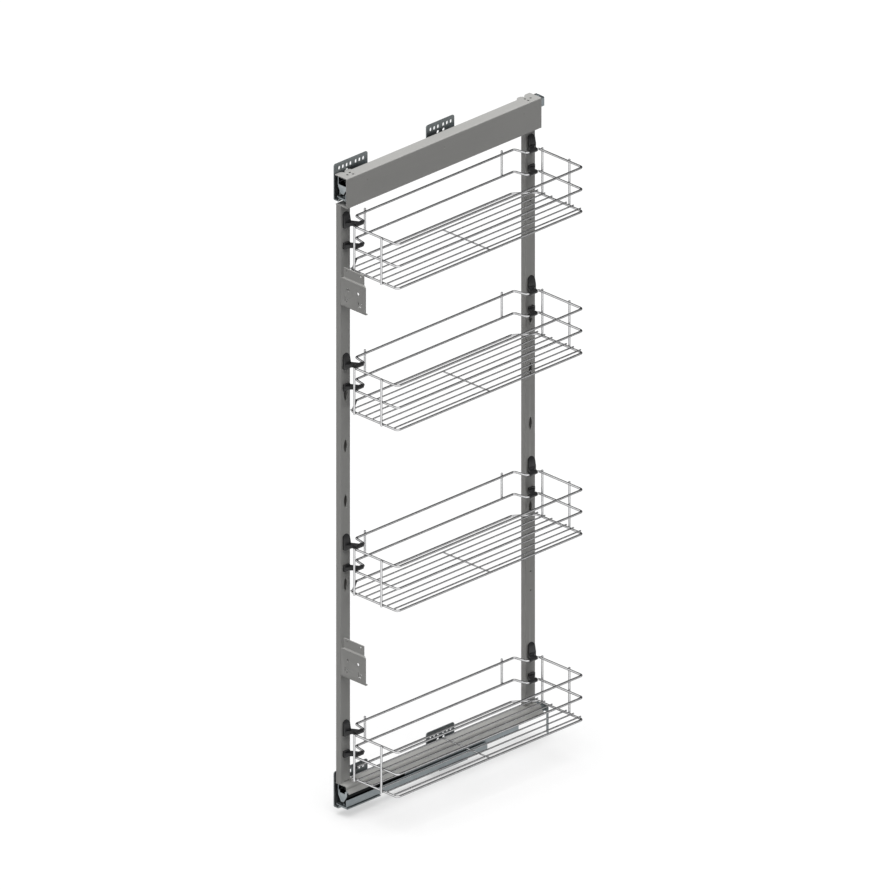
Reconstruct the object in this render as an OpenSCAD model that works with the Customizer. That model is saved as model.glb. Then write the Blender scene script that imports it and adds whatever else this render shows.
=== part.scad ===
// Side-mounted pull-out larder unit for a narrow tall cabinet.
// X runs from the cabinet side into the cabinet, Y from the front to the back, Z up.
// X = 0 is the face that lies on the cabinet side, Y = 0 the front face of the front post and
// Z = 0 the underside of the lower cabinet rail. The unit pulls out towards -Y.

/* [Frame] */
// Depth of the moving frame, over the two posts
frame_depth = 490; // [440:5:560]
// Height of the posts' top edge
post_top = 1180; // [1165:1:1400]
// Width of a post, across the cabinet
post_w = 12.5; // [10:0.5:14]
// Depth of a post, from front to back
post_d = 25; // [22:1:30]
// Wall of the painted sheet parts
sheet_t = 1.5; // [1:0.1:2]
// Gap between the cabinet side and the posts
side_gap = 5.5; // [4.5:0.5:7]
// Height of the side panel of the top cover
cover_panel_h = 59; // [57:1:66]
// Height of the side wall of the base beam, with its flared lip
beam_wall_h = 13; // [11:0.5:16]
// Reach of the flared lip along the base beam's side
beam_lip = 7; // [2:0.2:7.4]
// Outer bend radius of the base beam's shoulder
shoulder_r = 4.5; // [3:0.5:5]

/* [Runners] */
// Distance from the cabinet side to the middle of both runners
runner_x = 20.5; // [20:0.25:23]
// Height of a runner, from the cabinet rail's underside to the drawer member's top
runner_h = 41; // [38:0.5:44]
// Wall of the zinc-plated runner members
member_t = 1.5; // [1.2:0.1:1.8]
// Length of the cabinet rails
rail_length = 354; // [330:2:400]
// Inner width of the lower cabinet rail, which carries the load
lower_rail_w = 22.4; // [21:0.2:24]
// Inner width of the upper cabinet rail, which guides
upper_rail_w = 18.6; // [18.4:0.1:18.8]
// Height of the lower cabinet rail's walls
lower_wall_h = 15; // [11:0.5:16]
// Height of the upper cabinet rail's walls
upper_wall_h = 11; // [8:0.5:11.5]
// Length of the middle members
middle_length = 432; // [410:2:460]
// Width of the middle members
middle_w = 18; // [17:0.25:18.25]
// Height of a middle member's flat above the floor of the cabinet rail
middle_lift = 5.2; // [4.9:0.1:5.8]
// Inner width of the drawer members
drawer_w = 19.4; // [19:0.1:20]
// Height of the lower drawer member's walls
lower_drawer_wall_h = 13.5; // [12:0.5:20]
// Height of the upper drawer member's walls
upper_drawer_wall_h = 17.5; // [13:0.5:20]
// Length of the drawer members that shows behind the painted parts
drawer_tail = 8.7; // [6:0.1:14]
// Height of the posts' top below the upper cabinet rail
rail_over_post = 15.5; // [14:0.5:20]

/* [Bearings] */
// Diameter of the balls
ball_d = 6; // [5:0.1:6.4]
// Running clearance between a ball and its tracks
ball_gap = 0.1; // [0.05:0.01:0.2]
// Clearance of a ball in its cage
pocket_gap = 0.15; // [0.1:0.01:0.3]
// Thickness of the cage strips
cage_t = 1.2; // [0.8:0.1:1.4]
// Length of the cages between cabinet rail and middle member
outer_cage_length = 150; // [100:5:160]
// Length of the cages between middle member and drawer member
inner_cage_length = 190; // [120:5:200]
// Balls in each row of an outer cage
outer_balls = 7; // [4:1:8]
// Balls in each row of an inner cage
inner_balls = 9; // [5:1:10]

/* [Cabinet brackets] */
// Thickness of the bracket sheet
bracket_t = 2; // [1.6:0.1:2.4]
// Length of the front brackets
front_bracket_l = 84; // [80:1:100]
// Length of the middle brackets
middle_bracket_l = 70; // [66:1:90]
// Place of the middle brackets' front edge
middle_bracket_y = 232; // [200:2:250]
// Height of the lower bracket plates above the lower rail's underside
lower_plate_top = 61; // [56:1:75]
// Depth of the lower brackets' foot below the lower rail's underside
lower_foot_drop = 7; // [5:0.5:9]
// Height of the upper bracket plates above the upper rail's underside
upper_plate_top = 61; // [56:0.5:75]
// Depth of the upper brackets' foot below the upper rail's underside
upper_foot_drop = 8.5; // [7:0.5:12]
// Diameter of the round screw holes
screw_hole_d = 6.3; // [5:0.1:7]
// Width of the upright slots
slot_w = 5; // [4:0.1:5.5]
// Height of the upright slots
slot_h = 7.5; // [6:0.1:8]
// Distance between the slots of a group
slot_pitch = 9.4; // [8:0.1:10]
// Distance between the two round holes of a middle bracket
hole_pitch = 14.3; // [12:0.1:20]

/* [Door brackets] */
// Thickness of the door bracket sheet
door_t = 2; // [1.5:0.1:2.5]
// Reach of a door bracket's lower part beyond the post
door_w = 62.5; // [60:0.5:80]
// Height of a door bracket's lower part
door_h = 55.5; // [52:0.5:70]
// Height of a door bracket's narrower upper part
door_top_h = 20.5; // [16:0.5:30]
// Underside of the upper door bracket
upper_door_z = 985; // [960:1:1000]
// Underside of the lower door bracket
lower_door_z = 256; // [200:1:300]
// Diameter of the door screw holes
door_hole_d = 6; // [4:0.1:7]
// Distance between the two door screw holes
door_hole_pitch = 25; // [20:0.5:32]

/* [Baskets] */
// Distance from the cabinet side to the baskets' outer rail
basket_x = 149.5; // [130:0.5:160]
// Inset of the baskets' end rails from the frame's ends
basket_inset = 12.5; // [11:0.5:16]
// Height of the bottom rail of the bottom basket
bottom_basket_z = 56.5; // [50:0.5:70]
// Height of the bottom rail of the third basket
third_basket_z = 422.2; // [400:0.2:440]
// Height of the bottom rail of the second basket
second_basket_z = 778.1; // [760:0.1:790]
// Height of the bottom rail of the top basket
top_basket_z = 1056.5; // [1045:0.5:1060]
// Height of the upper rail above the bottom rail
basket_h = 87; // [80:0.5:95]
// Diameter of the rail wires
rail_d = 4.2; // [3.6:0.1:4.6]
// Diameter of the uprights
upright_d = 3.8; // [3:0.1:4.2]
// Diameter of the floor wires
floor_d = 2.8; // [2.2:0.1:3.2]
// How far welded wires sink into each other
weld_sink = 0.4; // [0.3:0.05:0.6]
// Number of floor wires
floor_wires = 7; // [4:1:8]
// Bend radius of the rail wires
wire_bend_r = 5; // [4:0.5:6]
// Distance of the notch wire from the posts' inner face
notch_reach = 19.5; // [17:0.5:22]
// Depth of the notch from the basket's end rail
notch_depth = 33.5; // [31:0.5:42]

/* [Clips] */
// Clearance of the wire in a clip's sleeve
wire_gap = 0.15; // [0.1:0.05:0.3]
// Wall of the sleeve
sleeve_t = 1.9; // [1.5:0.1:2.4]
// Height of the lens-shaped slots in the posts
lens_h = 27.5; // [24:0.5:30]
// Width of the lens-shaped slots in the posts
lens_w = 8.5; // [7:0.5:10]
// Clearance of a clip's plug in its slot
plug_gap = 0.3; // [0.15:0.05:0.4]
// Diameter of the lower clips' pegs
peg_d = 6; // [5:0.5:7]

/* [Hidden] */
$fn = 48;

eps = 0.01;
paint = [0.49, 0.48, 0.46];
zinc = [0.62, 0.66, 0.68];
dark_zinc = [0.33, 0.36, 0.38];
wire_silver = [0.78, 0.78, 0.78];
plastic_black = [0.09, 0.09, 0.09];
plastic_white = [0.86, 0.86, 0.84];
ball_steel = [0.75, 0.76, 0.78];

// posts
post_x0 = side_gap;
post_x1 = side_gap + post_w;
rear_y0 = frame_depth - post_d;
basket_levels = [bottom_basket_z, third_basket_z, second_basket_z, top_basket_z];
mid_rail_rise = basket_h / 2;
lens_rise = 8.5;
// free slots between the baskets, so that the clips can be moved
free_lens_levels = [431.5, 596, 704, 805];
lens_levels = concat(free_lens_levels, [for (z = basket_levels) z + basket_h + lens_rise]);
peg_levels = [for (z = basket_levels) z + mid_rail_rise];
foot_slot_l = 12;
foot_slot_h = 3;

// runners
upper_rail_z = post_top + rail_over_post;
drawer_half = drawer_w / 2 + member_t;
member_bend_r = 2.2;
drawer_bend_r = shoulder_r - sheet_t + 0.5;
drawer_front = 2;
// the middle member ends just behind the drawer member's front plate
middle_front = drawer_front + member_t + 0.8;
// front plate of the drawer members
plate_bend_z = 20;
plate_low_z = 8.2;
plate_low_half = 3.2;
mouth_z = 25;
mouth_half = 6.5;
seam_half = 1;
beam_top = runner_h + sheet_t;
beam_x1 = runner_x + drawer_half + sheet_t;
cover_top = upper_rail_z + runner_h + sheet_t;
track = ball_d / 2 + ball_gap;
ball_z = member_t + track;
cage_z = (member_t + middle_lift) / 2;
outer_cage_y = 160;
inner_cage_y = 130;
cage_end = 8;

// brackets
foot_bend_x = runner_x - 7.5;
foot_rise_x = 2.5;
plate_corner_r = 4;
// three holes at each end, through the top cover and the drawer member below it
cover_hole_d = 4.6;
cover_holes = [for (e = [0, 1], h = [[0, 14.8], [-4.2, 24.8], [4.2, 24.8]])
               [h[0], e == 0 ? h[1] : frame_depth - h[1]]];
lower_foot_x1 = runner_x + lower_rail_w / 2 + member_t + 2.3;
upper_foot_x1 = runner_x + upper_rail_w / 2 + member_t;
// the cabinet's hole pitch
system_pitch = 32;
rivet_d = 5;
rivet_head_d = 8;
rivet_foot_d = 6;
rivet_inset = 18;

// door brackets
door_top_inset = 6;
door_joggle = 2;
door_flange = 6;
door_screw_z = [11.6, 48.6];
door_hole_x = 18.8;
door_hole_z = 36.5;
screw_d = 4;
screw_head_d = 8;
screw_head_rise = 2.4;
screw_dome_r = (screw_head_d * screw_head_d / 4 + screw_head_rise * screw_head_rise) / (2 * screw_head_rise);

// baskets
rail_x0 = side_gap + 4.4;
floor_x0 = side_gap + 1.5;
end_y = basket_inset;
notch_x = post_x1 + notch_reach;
// the jog between notch and back rail runs a little askew
jog_skew = 5.5;
upright_out = (rail_d + upright_d) / 2 - weld_sink;
floor_up = (rail_d + floor_d) / 2 - weld_sink;
first_floor_x = notch_x - 3.7;
floor_pitch = (basket_x - 7.1 - first_floor_x) / (floor_wires - 1);
wire_end = 3;

// ---------- sheet-metal sections ----------

function unit(v) = v / norm(v);
function left(v) = [-v[1], v[0]];
function reversed(p) = [for (i = [len(p) - 1:-1:0]) p[i]];
function mirrored(p) = [for (q = p) [-q[0], q[1]]];
function turn(v, a) = [v[0] * cos(a) - v[1] * sin(a), v[0] * sin(a) + v[1] * cos(a)];
function angle_between(a, b) = acos(min(1, max(-1, a * b)));
function side_of(a, b) = sign(a[0] * b[1] - a[1] * b[0]);

// a path moved sideways, with mitred corners
function moved(p, d) =
    [for (i = [0:len(p) - 1])
        let (a = unit(i > 0 ? p[i] - p[i - 1] : p[1] - p[0]),
             b = unit(i < len(p) - 1 ? p[i + 1] - p[i] : p[i] - p[i - 1]))
        p[i] + d * (left(a) + left(b)) / (1 + a * b)];

// one corner turned into an arc
function corner(before, at, after, r, steps) =
    let (a = unit(at - before), b = unit(after - at), phi = angle_between(a, b), s = side_of(a, b),
         start = at - a * r * tan(phi / 2), c = start + s * r * left(a))
    [for (k = [0:steps]) c + turn(start - c, s * phi * k / steps)];

// a path with all its inner corners rounded
function bent(p, r, steps = 3) =
    concat([p[0]],
           [for (i = [1:len(p) - 2]) each corner(p[i - 1], p[i], p[i + 1], r, steps)],
           [p[len(p) - 1]]);

// outline of a sheet of thickness t that lies to the left of a path
function sheet(p, t) = concat(p, reversed(moved(p, t)));

module along_y(y0, y1) {
    translate([0, y1, 0]) rotate([90, 0, 0]) linear_extrude(y1 - y0) children();
}

module along_x(x0, x1) {
    translate([x0, 0, 0]) rotate([90, 0, 90]) linear_extrude(x1 - x0) children();
}

module hole_x(y, z, d, x0, x1) {
    translate([x0, y, z]) rotate([0, 90, 0]) cylinder(h = x1 - x0, d = d);
}

module hole_y(x, z, d, y0, y1) {
    translate([x, y1, z]) rotate([90, 0, 0]) cylinder(h = y1 - y0, d = d);
}

module slot_x(y, z, w, h, x0, x1) {
    hole_x(y, z - (h - w) / 2, w, x0, x1);
    hole_x(y, z + (h - w) / 2, w, x0, x1);
    translate([x0, y - w / 2, z - (h - w) / 2]) cube([x1 - x0, w, h - w]);
}

// cutter that rounds an upright plate's top corner, s is -1 at its front and 1 at its back
module corner_cut(y, z, r, s, x0, x1) {
    difference() {
        translate([x0, s > 0 ? y - r : y - 1, z - r]) cube([x1 - x0, r + 1, r + 1]);
        hole_x(y - s * r, z - r, 2 * r, x0 - 1, x1 + 1);
    }
}

module mirror_y() {
    translate([0, frame_depth, 0]) mirror([0, 1, 0]) children();
}

// ---------- runner members ----------

function ball_x(inner_w) = inner_w / 2 - track;
// where a 45-degree track, tangent to the ball, meets height 0 of its member
function flank(inner_w) = ball_x(inner_w) - ball_z - track * sqrt(2);

module cabinet_rail(inner_w, wall_h, cut_back) {
    half = inner_w / 2 + member_t;
    path = bent([[-half, wall_h], [-half, 0], [half, 0], [half, wall_h]], member_bend_r);
    color(zinc) difference() {
        union() {
            along_y(0, rail_length) polygon(sheet(path, member_t));
            // lanced stops that end the cage's run
            for (y = [6, rail_length - 8])
                translate([-2, y, member_t - eps]) cube([4, 2, 1.7 + eps]);
        }
        // the wall on the cabinet's side starts further back
        translate([-half - 1, -1, member_bend_r + 0.5]) cube([member_t + 2, cut_back + 1, wall_h]);
        for (y = rivet_places())
            translate([0, y, -1]) cylinder(h = member_t + 2, d = rivet_d + 0.1);
    }
}

function rivet_places() =
    [rivet_inset, front_bracket_l - rivet_inset,
     middle_bracket_y + rivet_inset, middle_bracket_y + middle_bracket_l - rivet_inset];

// outer outline of the right half, from the seam at the top to the middle of the flat
function middle_half(inner_w) =
    let (lo = flank(inner_w), hi = flank(drawer_w), half = middle_w / 2)
    [[seam_half, runner_h - middle_lift], [middle_lift + hi, runner_h - middle_lift],
     [half, runner_h - half + hi], [half, half - lo], [middle_lift + lo, middle_lift]];

module middle_member(inner_w) {
    right = middle_half(inner_w);
    path = bent(concat(right, reversed(mirrored(right))), member_bend_r);
    color(dark_zinc) along_y(middle_front, middle_front + middle_length) polygon(sheet(path, -member_t));
}

module drawer_member(wall_h, bend_r, holes) {
    half = drawer_half;
    path = bent([[half, runner_h - wall_h], [half, runner_h],
                 [-half, runner_h], [-half, runner_h - wall_h]], bend_r);
    // front plate that narrows downwards, open above
    side = half - member_t / 2;
    plate = [[-side, runner_h - wall_h + 2], [-side, plate_bend_z], [-plate_low_half, plate_low_z],
             [plate_low_half, plate_low_z], [side, plate_bend_z], [side, runner_h - wall_h + 2],
             [mouth_half, runner_h - wall_h + 2], [mouth_half, mouth_z], [-mouth_half, mouth_z],
             [-mouth_half, runner_h - wall_h + 2]];
    color(zinc) difference() {
        union() {
            along_y(drawer_front, frame_depth + drawer_tail) polygon(sheet(path, member_t));
            along_y(drawer_front, drawer_front + member_t) polygon(plate);
        }
        translate([0, frame_depth + drawer_tail / 2, runner_h - 3])
            cylinder(h = 4, d = screw_d + 0.1);
        for (at = holes)
            translate([at[0], at[1], runner_h - 5]) cylinder(h = 10, d = cover_hole_d);
    }
}

// ---------- ball cages ----------

// places of the balls along a cage
function ball_row(y, length, count) =
    [for (i = [0:count - 1]) y + cage_end + i * (length - 2 * cage_end) / (count - 1)];

module balls(inner_w, y, length, count) {
    color(ball_steel)
        for (s = [-1, 1], at = ball_row(y, length, count))
            translate([s * ball_x(inner_w), at, ball_z]) sphere(d = ball_d);
}

module cage(inner_w, y, length, count) {
    slope = ball_x(inner_w) - ball_z;
    wing_x = inner_w / 2 - 0.9;
    right = [[wing_x, wing_x - slope], [cage_z + slope, cage_z]];
    outline = concat(mirrored(right), reversed(right));
    color(plastic_white) difference() {
        along_y(y, y + length) polygon(sheet(moved(outline, -cage_t / 2), cage_t));
        for (s = [-1, 1], at = ball_row(y, length, count))
            translate([s * ball_x(inner_w), at, ball_z]) rotate([0, s * 135, 0])
                cylinder(h = 12, d = ball_d + 2 * pocket_gap, center = true);
    }
}

module lower_side() {
    translate([runner_x, 0, 0]) children();
}

module upper_side() {
    translate([runner_x, 0, upper_rail_z]) children();
}

// the inner bearings are the outer ones turned over, under the drawer member
module turned_over() {
    translate([0, 0, runner_h]) mirror([0, 0, 1]) children();
}

// ---------- cabinet brackets ----------

module bracket(y, length, top, foot_drop, base_z, foot_x1, groups, holes) {
    path = bent([[0, base_z + top], [0, base_z - foot_drop], [foot_bend_x, base_z - foot_drop],
                 [foot_bend_x + foot_rise_x, base_z - bracket_t], [foot_x1, base_z - bracket_t]], 2.4);
    row_z = base_z + top - 10.5;
    second_z = row_z - 10.2;
    color(dark_zinc) difference() {
        along_y(y, y + length) polygon(sheet(path, bracket_t));
        corner_cut(y, base_z + top, plate_corner_r, -1, -1, bracket_t + 1);
        corner_cut(y + length, base_z + top, plate_corner_r, 1, -1, bracket_t + 1);
        for (g = groups, k = g[1])
            slot_x(y + g[0] + k * slot_pitch, row_z, slot_w, slot_h, -1, bracket_t + 1);
        for (at = holes)
            hole_x(y + at, second_z, screw_hole_d, -1, bracket_t + 1);
        for (at = [rivet_inset, length - rivet_inset])
            translate([runner_x, y + at, base_z - bracket_t - 1])
                cylinder(h = bracket_t + 2, d = rivet_d + 0.1);
    }
}

module front_bracket(top, foot_drop, base_z, foot_x1) {
    bracket(0, front_bracket_l, top, foot_drop, base_z, foot_x1,
            [[13.2, [0:3]], [13.2 + slot_pitch + system_pitch, [0:2]]], [13.2 + 2 * slot_pitch]);
}

module middle_bracket(top, foot_drop, base_z, foot_x1) {
    bracket(middle_bracket_y, middle_bracket_l, top, foot_drop, base_z, foot_x1,
            [[10.6, [0:2]], [10.6 + system_pitch, [0:2]]],
            [for (k = [-1, 1]) middle_bracket_l / 2 + 1 + k * hole_pitch / 2]);
}

module rivet(z) {
    translate([0, 0, z + member_t]) cylinder(h = 0.7, d = rivet_head_d);
    translate([0, 0, z - bracket_t - eps]) cylinder(h = bracket_t + member_t + 2 * eps, d = rivet_d);
    translate([0, 0, z - bracket_t - 1.2]) cylinder(h = 1.2, d = rivet_foot_d);
}

module bracket_rivets() {
    color(zinc)
        for (z = [0, upper_rail_z], y = rivet_places())
            translate([runner_x, y, 0]) rivet(z);
}

// ---------- painted frame ----------

module lens(y, z, h, w, x0, x1) {
    r = (h * h / 4 + w * w / 4) / w;
    intersection() {
        hole_x(y - (r - w / 2), z, 2 * r, x0, x1);
        hole_x(y + (r - w / 2), z, 2 * r, x0, x1);
    }
}

// the front post, the rear post is its mirror image
module post() {
    lip = 6;
    path = bent([[post_x0, lip], [post_x0, 0], [post_x1, 0], [post_x1, post_d],
                 [post_x0, post_d], [post_x0, post_d - lip]], 2);
    mid = post_d / 2;
    wall_x0 = post_x1 - sheet_t - 1;
    color(paint) difference() {
        translate([0, 0, beam_top]) linear_extrude(post_top - beam_top) polygon(sheet(path, sheet_t));
        for (z = lens_levels)
            lens(mid, z, lens_h, lens_w, wall_x0, post_x1 + 1);
        for (z = peg_levels)
            hole_x(mid, z, peg_d + 2 * plug_gap, wall_x0, post_x1 + 1);
        for (base = [lower_door_z, upper_door_z], z = door_screw_z)
            hole_x(mid, base + z, screw_d + 0.1, wall_x0, post_x1 + 1);
        translate([wall_x0, mid - foot_slot_l / 2 + 3, beam_top + 0.3])
            cube([sheet_t + 2, foot_slot_l, foot_slot_h]);
    }
}

module base_beam() {
    lip = [beam_x1 + beam_lip, beam_top - beam_wall_h];
    crease = [beam_x1, beam_top - beam_wall_h + beam_lip];
    shoulder = [beam_x1, beam_top];
    back = [post_x0, beam_top];
    path = concat([lip], corner(lip, crease, shoulder, 2, 3), corner(crease, shoulder, back, shoulder_r, 4),
                  [back]);
    color(paint) along_y(0, frame_depth) polygon(sheet(path, sheet_t));
}

module top_cover() {
    x0 = runner_x - drawer_half;
    panel_low = cover_top - cover_panel_h;
    path = bent([[beam_x1, panel_low], [beam_x1, cover_top], [x0, cover_top]], 2);
    lobe_r = 9;
    lobe_x = x0 + lobe_r - 6.3;
    ear_x = lobe_x - lobe_r + 0.2;
    color(paint) difference() {
        union() {
            along_y(0, frame_depth) polygon(sheet(path, sheet_t));
            for (y = [9.5, 28.5, frame_depth - 28.5, frame_depth - 9.5])
                translate([lobe_x, y, cover_top - sheet_t]) cylinder(h = sheet_t, r = lobe_r);
            // the ears run straight at the cover's ends
            for (y = [0, frame_depth - 9.5])
                translate([ear_x + 1.5, y, cover_top - sheet_t]) cube([x0 - ear_x, 9.5, sheet_t]);
            for (y = [1.5, frame_depth - 9.5])
                translate([ear_x, y, cover_top - sheet_t]) cube([2, 8, sheet_t]);
            for (y = [1.5, frame_depth - 1.5])
                translate([ear_x + 1.5, y, cover_top - sheet_t]) cylinder(h = sheet_t, r = 1.5);
            // tabs that lie on the posts and tie the panel to them
            for (y = [0, rear_y0])
                translate([post_x0, y, post_top]) cube([beam_x1 - sheet_t - post_x0 + eps, post_d, sheet_t]);
        }
        for (at = cover_holes)
            translate([runner_x + at[0], at[1], cover_top - 5]) cylinder(h = 10, d = cover_hole_d);
        // shallow dimples where the panel is pressed onto the drawer member
        for (y = [51.5, frame_depth / 2, frame_depth - 45])
            hole_x(y, cover_top - 18, 5, beam_x1 - 0.4, beam_x1 + 1);
    }
}

// plate on the rear end of the lower drawer member, its finger hangs beside the runner
module lower_rear_finger() {
    y0 = frame_depth + drawer_tail;
    wall_x = runner_x + drawer_w / 2 + 0.1;
    finger_x0 = lower_foot_x1 + 0.7;
    finger_x1 = finger_x0 + 5;
    arm_z = runner_h - 12.5;
    outline = [[wall_x, arm_z], [finger_x0, arm_z], [finger_x0, -13], [finger_x1, -13],
               [finger_x1, runner_h - 3], [finger_x1 - 1.5, runner_h - 1.5], [wall_x, runner_h - 1.5]];
    color(dark_zinc) along_y(y0, y0 + member_t) polygon(outline);
}

module drawer_end_screw() {
    translate([0, frame_depth + drawer_tail / 2, runner_h]) {
        difference() {
            translate([0, 0, screw_head_rise - screw_dome_r]) sphere(r = screw_dome_r);
            translate([-8, -8, -16]) cube([16, 16, 16]);
        }
        translate([0, 0, -member_t - 1.5]) cylinder(h = member_t + 1.5 + eps, d = screw_d);
    }
}

// ---------- door brackets ----------

module door_bracket(z) {
    x0 = post_x1;
    x1 = post_x1 + door_w;
    path = bent([[door_flange, z], [0, z], [0, z + door_h], [door_joggle, z + door_h + 2.5],
                 [door_joggle, z + door_h + door_top_h]], 2.6);
    hole_x0 = x0 + door_hole_x;
    color(paint) difference() {
        union() {
            along_x(x0, x1) polygon(sheet(reversed(path), door_t));
            // side flange screwed to the post
            translate([x0, 0, z + 3]) cube([door_t, post_d - 1, door_h - 6]);
        }
        // the upper part is narrower, with sloping steps
        along_y(-5, 15) polygon([[x0 - 1, z + door_h - 1], [x0, z + door_h - 1],
                                 [x0 + door_top_inset, z + door_h + 2],
                                 [x0 + door_top_inset, z + door_h + door_top_h + 5],
                                 [x0 - 1, z + door_h + door_top_h + 5]]);
        along_y(-5, 15) polygon([[x1 + 1, z + door_h - 1], [x1, z + door_h - 1],
                                 [x1 - door_top_inset, z + door_h + 2],
                                 [x1 - door_top_inset, z + door_h + door_top_h + 5],
                                 [x1 + 1, z + door_h + door_top_h + 5]]);
        for (k = [0, 1])
            hole_y(hole_x0 + k * door_hole_pitch, z + door_hole_z, door_hole_d, -5, 10);
        for (k = [14.5, x1 - x0 - 14.3])
            hole_y(x0 + k, z + door_h + door_top_h - 5, 4, -5, 10);
        // lanced L-shaped slots
        for (at = [10.3, 44.2]) {
            translate([x0 + at, -5, z + 11]) cube([2, 15, 10]);
            translate([x0 + at, -5, z + 11]) cube([7.5, 15, 2]);
            hole_y(x0 + at + 6.8, z + 18, 3.3, -5, 10);
        }
        for (s = door_screw_z)
            hole_x(post_d / 2, z + s, screw_d + 0.1, x0 - 1, x0 + door_t + 1);
    }
}

module door_bracket_screws() {
    color(zinc)
        for (base = [lower_door_z, upper_door_z], z = door_screw_z)
            translate([post_x1 + door_t, post_d / 2, base + z]) rotate([0, 90, 0]) {
                difference() {
                    cylinder(h = 2.2, d = screw_head_d);
                    translate([-3, -0.5, 1.4]) cube([6, 1, 1]);
                }
                translate([0, 0, -door_t - sheet_t - 3]) cylinder(h = door_t + sheet_t + 3 + eps, d = screw_d);
            }
}

// ---------- wire baskets ----------

module rod(a, b, d) {
    v = b - a;
    translate(a) rotate([0, acos(v[2] / norm(v)), atan2(v[1], v[0])]) cylinder(h = norm(v), d = d);
}

function at_height(p, z) = [p[0], p[1], z];

// a closed wire loop in the plane at height z, with rounded corners
module wire_loop(p, z, d, r) {
    n = len(p);
    for (i = [0:n - 1]) {
        before = p[(i + n - 1) % n];
        after = p[(i + 1) % n];
        far = p[(i + 2) % n];
        a = unit(p[i] - before);
        b = unit(after - p[i]);
        c = unit(far - after);
        phi = angle_between(a, b);
        s = side_of(a, b);
        start = p[i] - a * r * tan(phi / 2);
        centre = start + s * r * left(a);
        from = p[i] + b * r * tan(phi / 2);
        to = after - b * r * tan(angle_between(b, c) / 2);
        first = s > 0 ? start : from;
        dir = first - centre;
        // the wire flattens a hair in its bends, and the straights run into them
        translate(at_height(centre, z)) rotate([0, 0, atan2(dir[1], dir[0])])
            rotate_extrude(angle = phi) translate([r, 0]) circle(d = d + 0.04);
        rod(at_height(from - b * 0.25, z), at_height(to + b * 0.25, z), d);
    }
}

module basket(z) {
    y0 = end_y;
    y1 = frame_depth - end_y;
    n0 = y0 + notch_depth;
    n1 = y1 - notch_depth;
    rim = [[rail_x0, n0], [notch_x, n0 - jog_skew], [notch_x, y0], [basket_x, y0],
           [basket_x, y1], [notch_x, y1], [notch_x, n1 + jog_skew], [rail_x0, n1]];
    base = [[floor_x0, n0 + 4], [notch_x - 2, y0], [basket_x, y0],
            [basket_x, y1], [notch_x - 2, y1], [floor_x0, n1 - 4]];
    top = z + basket_h;
    mid = z + mid_rail_rise;
    color(wire_silver) {
        wire_loop(base, z, rail_d, wire_bend_r);
        wire_loop(rim, mid, rail_d, wire_bend_r);
        wire_loop(rim, top, rail_d, wire_bend_r);
        // floor wires lie on the end rails
        for (i = [0:floor_wires - 1])
            rod([first_floor_x + i * floor_pitch, y0 - wire_end, z + floor_up],
                [first_floor_x + i * floor_pitch, y1 + wire_end, z + floor_up], floor_d);
        // cross wire under the floor
        rod([first_floor_x - 4, frame_depth / 2, z + floor_up - floor_d + weld_sink],
            [basket_x, frame_depth / 2, z + floor_up - floor_d + weld_sink], floor_d);
        // uprights outside the end rails
        for (x = [notch_x + 6.5, notch_x + 75], y = [y0 - upright_out, y1 + upright_out])
            rod([x, y, z - rail_d / 2 - 0.5], [x, y, top + rail_d / 2 + 0.5], upright_d);
        // short uprights behind the back rails
        for (y = [n0 + 27, n1 - 27])
            rod([rail_x0 - upright_out, y, mid - rail_d / 2 - 1],
                [rail_x0 - upright_out, y, top + rail_d / 2 + 3], upright_d);
    }
}

// ---------- basket clips ----------

sleeve_y0 = end_y + wire_bend_r;
sleeve_y1 = end_y + notch_depth - jog_skew - wire_bend_r;
sleeve_d = rail_d + 2 * wire_gap + 2 * sleeve_t;

// arm and sleeve of a clip, with its bore round the notch wire at height z
module clip_arm(z) {
    arm_h = 6;
    arm = [[post_x1, 5], [post_x1 + 7, 8], [notch_x - 4, sleeve_y0], [notch_x, sleeve_y0],
           [notch_x, sleeve_y0 + 14], [post_x1, 20]];
    translate([0, 0, z - arm_h / 2]) linear_extrude(arm_h) polygon(arm);
    hole_y(notch_x, z, sleeve_d, sleeve_y0, sleeve_y1);
}

module clip_cut(z) {
    bore = rail_d + 2 * wire_gap;
    hole_y(notch_x, z, bore, sleeve_y0 - 1, sleeve_y1 + 1);
    // snap opening under the sleeve
    translate([notch_x - rail_d * 0.4, sleeve_y0 - 1, z - sleeve_d])
        cube([rail_d * 0.8, sleeve_y1 - sleeve_y0 + 2, sleeve_d]);
}

// clip of an upper rail: its tongue covers a lens slot, and its plug fills the slot
module tongue_clip(z) {
    mid = post_d / 2;
    tongue_h = 22.5;
    tongue_w = 15;
    fin = [[post_x1, z - 7], [post_x1 + 6.5, z - 7], [post_x1 + 6.5, z + 4], [post_x1 + 4, z + 16],
           [post_x1, z + tongue_h]];
    difference() {
        union() {
            clip_arm(z);
            intersection() {
                along_y(mid - tongue_w / 2, mid + tongue_w / 2) polygon(fin);
                union() {
                    hole_x(mid, z + tongue_h - tongue_w / 2 - 0.5, tongue_w + 1, post_x1 - 1, post_x1 + 8);
                    translate([post_x1 - 1, mid - tongue_w / 2, z - 8]) cube([10, tongue_w, tongue_h]);
                }
            }
            lens(mid, z + lens_rise, lens_h - 4 * plug_gap, lens_w - 2 * plug_gap,
                 post_x1 - sheet_t - 0.5, post_x1 + 0.5);
        }
        clip_cut(z);
    }
}

// clip of a middle rail: a round peg goes into the post
module peg_clip(z) {
    mid = post_d / 2;
    difference() {
        union() {
            clip_arm(z);
            translate([post_x1, mid - 7, z - 6]) cube([5, 14, 12]);
            hole_x(mid, z, peg_d, post_x1 - sheet_t - 1.5, post_x1 + 1);
        }
        clip_cut(z);
    }
}

module tongue_clips() {
    color(plastic_black)
        for (z = basket_levels)
            tongue_clip(z + basket_h);
}

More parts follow.
